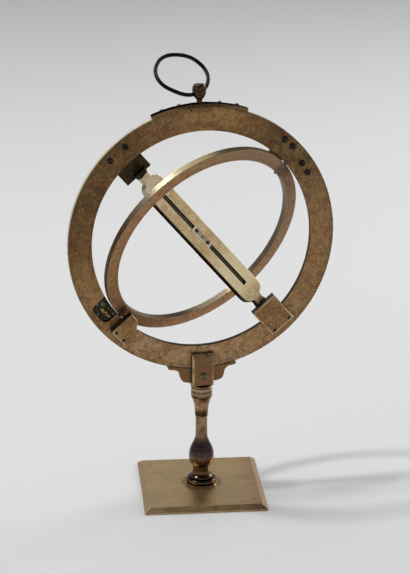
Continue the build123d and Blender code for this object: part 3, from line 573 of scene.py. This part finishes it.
def cursor_brass():
    """Greyish brass with light ends and edges, a dark index mark, and a painted highlight along its lower-left edge.
    """
    def layers(tree, place):
        mark = centre - pole_axis * 2.0 * mm + bridge_front * 2.5 * mm
        return [
            (cloud(tree, place, 2.0, 0.45, 0.6, 0.6, 1.0), "#8E8568"),
            (cloud(tree, place, 0.8, 0.56, 0.68, 0.5, 2.0), "#5F4A34"),
            (around(tree, place, mark, 0.9, 0.5, 0.8), "#3C3024"),
            # Painted highlight along the lower-left edge
            (zone(tree, place, centre, bridge_across, -1.2, -1.4), "#FFF9EC"),
            (zone(tree, place, centre, pole_axis, -8.3, -8.7, 0.9), "#FFF4DA"),
            (zone(tree, place, centre, pole_axis, 4.4, 4.8, 0.7), "#FFF4DA"),
            # Crevices darkened: grime, and painted shade where less light arrives
            (hollows(tree, 0.8, 0.5), "#1A150F"),
            (worn_edges(tree, 0.25, 0.7), "#FFF4DA"),
        ]
    return metal("cursor_brass", "#B5A786", layers, rough=(0.24, 0.38), grain=0.25)


def hanger_brass():
    """Brass at the top of the dial, dark brown from the hands that lift it, with painted shade near black on its upper
    side.
    """
    def layers(tree, place):
        return [
            (cloud(tree, place, 2.5, 0.45, 0.6, 0.7, 1.0), "#6E543A"),
            (cloud(tree, place, 1.2, 0.52, 0.66, 0.6, 2.0), "#8A6846"),
            (both(tree, facing(tree, front, 0.5, 0.8), zone(tree, place, centre, up, 76.0, 75.0)), "#8C6B48"),
            # Painted shade, near black, on the upward faces
            (facing(tree, up, 0.5, 0.75), "#19120D"),
            # Crevices darkened: grime, and painted shade where less light arrives
            (hollows(tree, 1.5, 0.7), "#0F0B08"),
            (both(tree, worn_edges(tree, 0.22), cloud(tree, place, 2.0, 0.3, 0.6, 0.9, 3.0)), "#C3A878"),
        ]
    return metal("hanger_brass", "#4E3C2C", layers, rough=(0.3, 0.46), relief=0.03, skim="#5E5852")


def polished_brass():
    """Brass turned to an acorn and polished by fingers, deep brown with light rims: wear and painted highlight."""
    def layers(tree, place):
        return [
            (cloud(tree, place, 2.5, 0.45, 0.6, 0.6, 1.0), "#5C4836"),
            (cloud(tree, place, 1.0, 0.54, 0.66, 0.5, 2.0), "#2E231A"),
            # Crevices darkened: grime, and painted shade where less light arrives
            (hollows(tree, 1.0, 0.6), "#0F0B08"),
            (both(tree, worn_edges(tree, 0.35), cloud(tree, place, 2.0, 0.25, 0.5, 1.0, 3.0)), "#E4D6B4"),
        ]
    return metal("polished_brass", "#4C3A2C", layers, rough=(0.14, 0.26), relief=0.01)


def green_brass():
    """Brass screw seldom turned: olive black, with a painted highlight round the rim of its head."""
    def layers(tree, place):
        return [
            (cloud(tree, place, 1.4, 0.45, 0.6, 0.7, 1.0), "#5A5A30"),
            (cloud(tree, place, 0.7, 0.54, 0.66, 0.6, 2.0), "#2A2216"),
            (both(tree, worn_edges(tree, 0.3), cloud(tree, place, 2.5, 0.3, 0.5, 1.0, 3.0)), "#E9DDB6"),
        ]
    return metal("green_brass", "#3E3C24", layers, rough=(0.22, 0.36), grain=0.25)


def drawn_bronze():
    """Bronze wire, drawn and bent by hand, near black with brown where it rubs."""
    def layers(tree, place):
        return [
            (cloud(tree, place, 2.0, 0.5, 0.68, 0.55, 1.0), "#4A382B"),
            (cloud(tree, place, 0.8, 0.58, 0.72, 0.5, 2.0), "#6A4E38"),
        ]
    return metal("drawn_bronze", "#231D19", layers, rough=(0.26, 0.42), grain=0.35)


def pin_brass():
    """Drawn brass wire cut for pins, bright where it runs."""
    def layers(tree, place):
        return [
            (cloud(tree, place, 0.8, 0.5, 0.7, 0.6, 1.0), "#5E4A30"),
            # Crevices darkened: grime, and painted shade where less light arrives
            (hollows(tree, 0.8, 0.7), "#17110C"),
        ]
    return metal("pin_brass", "#94784E", layers, rough=(0.28, 0.42), grain=0.25)


def blued_steel():
    """Steel turned and blued in the flame, blue-black with brown specks of rust."""
    def layers(tree, place):
        return [
            (cloud(tree, place, 1.2, 0.48, 0.62, 0.6, 1.0), "#2E251E"),
            (cloud(tree, place, 0.6, 0.56, 0.68, 0.6, 2.0), "#5B4130"),
            # Crevices darkened: grime, and painted shade where less light arrives
            (hollows(tree, 0.8, 0.8), "#060505"),
            # Rims of the heads light grey: wear, and painted highlight
            (worn_edges(tree, 0.15, 0.7), "#9A9C9A"),
        ]
    return metal("blued_steel", "#292928", layers, rough=(0.2, 0.32), grain=0.2, relief=0.01)


def engraving_wax():
    """Old dark wax left in engraved lines, browned and mostly worn out."""
    def layers(tree, place):
        return [
            (cloud(tree, place, 6.0, 0.35, 0.6, 0.9, 1.0), "#6B5038"),
            (cloud(tree, place, 1.0, 0.5, 0.7, 0.6, 2.0), "#8A6C4A"),
        ]
    return metal("engraving_wax", "#3A2A1D", layers, rough=(0.5, 0.65), grain=0.15, relief=0.005, metallic=0.6)


def verdigris():
    """Copper salts grown in a damp corner, pale green crust over brown."""
    def layers(tree, place):
        return [
            (cloud(tree, place, 0.6, 0.45, 0.65, 0.8, 1.0), "#54614A"),
            (cloud(tree, place, 0.35, 0.58, 0.7, 0.7, 2.0), "#3A2A1C"),
        ]
    return metal("verdigris", "#6C7A62", layers, rough=(0.7, 0.9), grain=0.2, relief=0.06, metallic=0.0)


# Meshes


def grid_faces(rows, columns):
    """Quads of a grid of points that closes on itself both ways."""
    row, column = np.meshgrid(np.arange(rows), np.arange(columns), indexing="ij")
    next_row = (row + 1) % rows
    next_column = (column + 1) % columns
    corners = [row * columns + column, next_row * columns + column]
    corners += [next_row * columns + next_column, row * columns + next_column]
    return np.stack(corners, axis=-1).reshape(-1, 4)


def put(name, points, faces, material, body, slot, smooth=True):
    """Makes a piece of points and faces in place, gives it a finish and lets it ride on a body."""
    mesh = bpy.data.meshes.new(name)
    mesh.from_pydata(np.asarray(points).reshape(-1, 3).tolist(), [], [list(f) for f in faces])
    mesh.polygons.foreach_set("use_smooth", np.full(len(mesh.polygons), smooth))
    mesh.materials.append(material)
    mesh.update()
    piece = bpy.data.objects.new(name, mesh)
    bpy.context.scene.collection.objects.link(piece)
    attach(piece, body)
    return piece


def bail_path(turn):
    """Radius of the bail by its angle from the hole: round, but drawn in where the wire runs straighter.

    The radius is the wire ring's own less a sum of bells, each with its angle, its width and its
    share of the radius. Between two bells that lie close together the wire shows a kink.
    """
    drawn_in = sum(share * np.exp(-(((turn - math.radians(at)) / width) ** 2)) for at, width, share in bail_bends)
    return 1 - drawn_in


def make_bail(material):
    """Wire carried round the bail's path: a circle of the wire's radius, a little uneven along it."""
    joint = joints["bail_swing"]
    axis = Vector(joint["axis"]).normalized()
    low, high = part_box("bail")
    middle = (low + high) / 2
    hole = Vector(joint["pos_m"])
    lean = (middle - hole)
    radius = lean.length
    lean.normalize()
    across = axis.cross(lean)
    turn = np.linspace(0, 2 * math.pi, 160, endpoint=False)[:, None]
    round_wire = np.linspace(0, 2 * math.pi, 16, endpoint=False)[None, :]
    reach = radius * bail_path(turn)
    wire = bail_wire / 2 * (0.985 + 0.012 * np.sin(5 * turn) + 0.01 * np.sin(11 * turn + 1.3))
    out = reach + wire * np.cos(round_wire)
    side = wire * np.sin(round_wire)
    x, l, a = (np.array(v) for v in (axis, lean, across))
    ray = -np.cos(turn)[..., None] * l + np.sin(turn)[..., None] * x
    points = np.array(middle) + ray * out[..., None] + a * side[..., None]
    bail = put("bail_wire", points, grid_faces(160, 16), material, "bail", "bail_bronze")
    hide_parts("bail")


def dial_frame(turn_axis=None, opened=0.0):
    """Two directions in a ring's plane and its normal: x, y and front, opened about an axis by an angle."""
    x = Vector((1, 0, 0)) if turn_axis is None else turn_axis.normalized()
    y = front.cross(x)
    return x, y * math.cos(opened) + front * math.sin(opened), front * math.cos(opened) - y * math.sin(opened)


def bars(angles, near, far, half, level, axes):
    """Radial strokes on a flat ring: a thin closed box at each angle from one radius to another."""
    x, y, n = (np.array(v) for v in axes)
    a = np.asarray(angles)[:, None, None, None]
    r = np.array([near, far])[None, :, None, None]
    s = np.array([-half, half])[None, None, :, None]
    h = np.array([level - line_sunk, level + line_proud])[None, None, None, :]
    ray = np.cos(a)[..., None] * x + np.sin(a)[..., None] * y
    side = -np.sin(a)[..., None] * x + np.cos(a)[..., None] * y
    points = np.array(centre) + ray * r[..., None] + side * s[..., None] + n * h[..., None]
    corner = np.array([
        (0, 1, 3, 2), (4, 6, 7, 5), (0, 4, 5, 1), (2, 3, 7, 6), (0, 2, 6, 4), (1, 5, 7, 3),
    ])
    faces = (corner[None] + 8 * np.arange(len(angles))[:, None, None]).reshape(-1, 4)
    return points.reshape(-1, 3), faces


def circle_line(radius, half, level, axes, count=360):
    """Engraved circle on a flat ring: a thin closed band of rectangular section."""
    x, y, n = (np.array(v) for v in axes)
    a = np.linspace(0, 2 * math.pi, count, endpoint=False)[:, None]
    r = radius + np.array([-half, half, half, -half])[None, :]
    h = level + np.array([-line_sunk, -line_sunk, line_proud, line_proud])[None, :]
    ray = np.cos(a)[..., None] * x + np.sin(a)[..., None] * y
    points = np.array(centre) + ray * r[..., None] + n * h[..., None] * np.ones_like(a)[..., None]
    return points.reshape(-1, 3), grid_faces(count, 4)


def numerals(labels, angles, radius, size, level, axes):
    """Plain figures set round a flat ring, heads outwards: each is a thin extruded outline."""
    x, y, n = (np.array(v) for v in axes)
    all_points, all_faces, offset = [], [], 0
    for label, angle in zip(labels, angles):
        curve = bpy.data.curves.new("figure", "FONT")
        curve.body = label
        curve.size = size
        curve.align_x = "CENTER"
        curve.align_y = "CENTER"
        curve.extrude = (line_sunk + line_proud) / 2
        curve.resolution_u = 3
        holder = bpy.data.objects.new("figure", curve)
        mesh = bpy.data.meshes.new_from_object(holder)
        welded = bmesh.new()
        welded.from_mesh(mesh)
        bmesh.ops.remove_doubles(welded, verts=welded.verts, dist=1e-7)
        welded.to_mesh(mesh)
        welded.free()
        flat = np.zeros(len(mesh.vertices) * 3)
        mesh.vertices.foreach_get("co", flat)
        flat = flat.reshape(-1, 3)
        ray = math.cos(angle) * x + math.sin(angle) * y
        side = math.sin(angle) * x - math.cos(angle) * y
        lift = level + (line_proud - line_sunk) / 2
        points = np.array(centre) + side * flat[:, :1] + ray * (radius + flat[:, 1:2]) + n * (lift + flat[:, 2:])
        all_points.append(points)
        all_faces += [[v + offset for v in face.vertices] for face in mesh.polygons]
        offset += len(points)
        bpy.data.objects.remove(holder)
        bpy.data.curves.remove(curve)
        bpy.data.meshes.remove(mesh)
    return np.concatenate(all_points), all_faces


def joined(groups):
    """Points and faces of several groups as one."""
    points, faces, offset = [], [], 0
    for some, quads in groups:
        points.append(some)
        faces += [[int(v) + offset for v in face] for face in quads]
        offset += len(some)
    return np.concatenate(points), faces


def clear_of(angles, gaps):
    """Angles in degrees that lie outside every gap, as radians."""
    angles = np.asarray(angles, float)
    keep = np.ones(len(angles), bool)
    for middle, half in gaps:
        keep &= np.abs((angles - middle + 180) % 360 - 180) > half
    return np.radians(angles[keep])


def make_meridian_scale(material):
    """Degree scale near the rim of the dial's face, with plain figures every ten degrees."""
    axes = dial_frame()
    level = -face_y
    gaps = ((270.0, 6.5), (91.2, 4.6))
    half = line_width / 2
    groups = [
        circle_line(73.9 * mm, half, level, axes), circle_line(75.1 * mm, half, level, axes),
        bars(clear_of(np.arange(0, 360, 1), gaps), 73.9 * mm, 75.1 * mm, half * 0.7, level, axes),
    ]
    fittings = ((270.0, 12.0), (91.2, 8.0), (310.5, 11.0), (220.5, 16.0), (130.5, 8.0), (40.5, 14.0))
    tens = clear_of(np.arange(0, 360, 10), fittings)
    labels = [str(int(round(abs((math.degrees(a) + 90) % 180 - 90)))) for a in tens]
    groups.append(numerals(labels, tens, 71.9 * mm, 2.3 * mm, level, axes))
    put("meridian_scale", *joined(groups), material, "meridian", "dial_brass", smooth=False)


def make_hour_scale(material):
    """Hour scale on the hour ring's face: quarters as strokes, hours as plain figures twice round."""
    axes = dial_frame(hour_axis, hour_open)
    half = line_width / 2
    gaps = ((0.0, 3.0), (180.0, 3.0))
    groups = [
        circle_line(57.0 * mm, half, hour_face, axes),
        bars(clear_of(np.arange(0, 360, 3.75), gaps), 55.7 * mm, 57.0 * mm, half * 0.7, hour_face, axes),
    ]
    hours = clear_of(np.arange(0, 360, 15), gaps)
    labels = [str(int(round(math.degrees(a) / 15)) % 12 or 12) for a in hours]
    groups.append(numerals(labels, hours, 59.0 * mm, 2.3 * mm, hour_face, axes))
    put("hour_scale", *joined(groups), material, "hour", "hour_brass", smooth=False)


def make_lump(name, middle, axes, reach, height, uneven, seed, material, body, slot):
    """Low lump: a dome whose edge and top swell and sink with waves, closed underneath.

    Its radius runs out from the top to the edge and back under it. Its height is a half circle's
    above the edge and a shallow one below, and both carry a few sine waves round the lump, as
    strong as it is uneven.
    """
    x, y, n = (np.array(v) for v in axes)
    rings, sides = 14, 28
    v = np.linspace(0, math.pi, rings + 2)[1:-1][:, None]
    a = np.linspace(0, 2 * math.pi, sides, endpoint=False)[None, :]
    wave = 1 + uneven * (0.16 * np.sin(3 * a + seed) + 0.1 * np.sin(7 * a + 2 * seed))
    lump = 1 + uneven * 0.2 * np.sin(4 * a + 5 * v + seed) * np.sin(3 * v)
    out = reach * np.sin(v) * wave
    up = np.where(np.cos(v) > 0, height * np.cos(v) * lump, 0.3 * height * np.cos(v))
    ray = np.cos(a)[..., None] * x + np.sin(a)[..., None] * y
    grid = np.array(middle) + ray * out[..., None] + n * up[..., None]
    top = np.array(middle) + n * height
    foot = np.array(middle) - n * 0.3 * height
    points = np.concatenate([grid.reshape(-1, 3), [top, foot]])
    row, column = np.meshgrid(np.arange(rings - 1), np.arange(sides), indexing="ij")
    nxt = (column + 1) % sides
    quads = np.stack([row * sides + column, (row + 1) * sides + column,
                      (row + 1) * sides + nxt, row * sides + nxt], axis=-1).reshape(-1, 4)
    ring = np.arange(sides)
    cap = [(rings * sides, int(i), int((i + 1) % sides)) for i in ring]
    base = (rings - 1) * sides
    bottom = [(rings * sides + 1, int(base + (i + 1) % sides), int(base + i)) for i in ring]
    put(name, points, [list(map(int, q)) for q in quads] + cap + bottom, material, body, slot)


def make_corrosion(material):
    """Green crusts in the empty seat beside the lower pivot and at the foot of the half-block there."""
    spots = (
        (64.6, -11.6, 0.15, 1.3, 0.5, 1.0), (66.9, -13.6, 0.15, 0.9, 0.4, 2.0), (64.2, -3.0, 0.15, 0.8, 0.4, 3.0),
        (70.4, -9.0, 0.15, 0.8, 0.5, 4.0), (72.1, 4.0, 1.55, 0.7, 0.3, 5.0), (72.0, 9.5, 1.55, 0.6, 0.3, 6.0),
    )
    for number, (out, along, level, reach, height, seed) in enumerate(spots):
        place = lower_pivot_place(out, along, level)
        name = f"verdigris_{number + 1}"
        axes = (lower_pivot, lower_along, front)
        make_lump(name, place, axes, reach * mm, height * mm, 1.0, seed, material, "meridian", "dial_brass")


def make_pin_end(material):
    """Rounded end of the upper pin, that shows inside the hour ring."""
    inward = -hour_axis
    axes = (front, inward.cross(front), inward)
    place = centre - inward * (hour_inner_r - 0.05 * mm)
    make_lump("hour_pin_end", place, axes, 0.9 * mm, 0.85 * mm, 0.0, 0.0, material, "hour", "pin_brass")


place_camera()
middle = (cad_box[0] + cad_box[1]) / 2
place_light("key", key_toward, key_distance, key_size, key_power, middle)
place_light("fill", fill_toward, fill_distance, fill_size, fill_power, middle)
place_light("top", top_toward, top_distance, top_size, top_power, middle)
make_sky()
make_floor()
bpy.context.scene.view_settings.view_transform = "Standard"

# Finish of each slot, and of the nodes that differ from their slot
slot_finish = {
    "base_brass": sawn_brass(),
    "column_brass": turned_brass(),
    "head_brass": filed_brass(),
    "dial_brass": engraved_brass(),
    "hour_brass": rolled_brass(),
    "bridge_brass": handled_brass(),
    "cursor_brass": cursor_brass(),
    "hanger_brass": hanger_brass(),
    "bail_bronze": drawn_bronze(),
    "pin_brass": pin_brass(),
    "screw_steel": blued_steel(),
}
blocks = block_brass()
green_brass_finish = green_brass()
node_finish = {
    "pole_block_upper": sooty_brass(),
    "pole_block_lower": blocks,
    "pivot_block_lower": blocks,
    "pivot_block_upper": blocks,
    "pivot_block_plain": blocks,
    "clamp_screw": green_brass_finish,
    "shackle": polished_brass(),
}
for subpart in frame["record"]["subparts"]:
    finish = node_finish.get(subpart["node"], slot_finish[subpart["material_slot"]])
    for material_slot in frame["nodes"][subpart["node"]].material_slots:
        material_slot.material = finish

wax = engraving_wax()
make_meridian_scale(wax)
make_hour_scale(wax)
make_bail(slot_finish["bail_bronze"])
make_corrosion(verdigris())
make_pin_end(green_brass_finish)
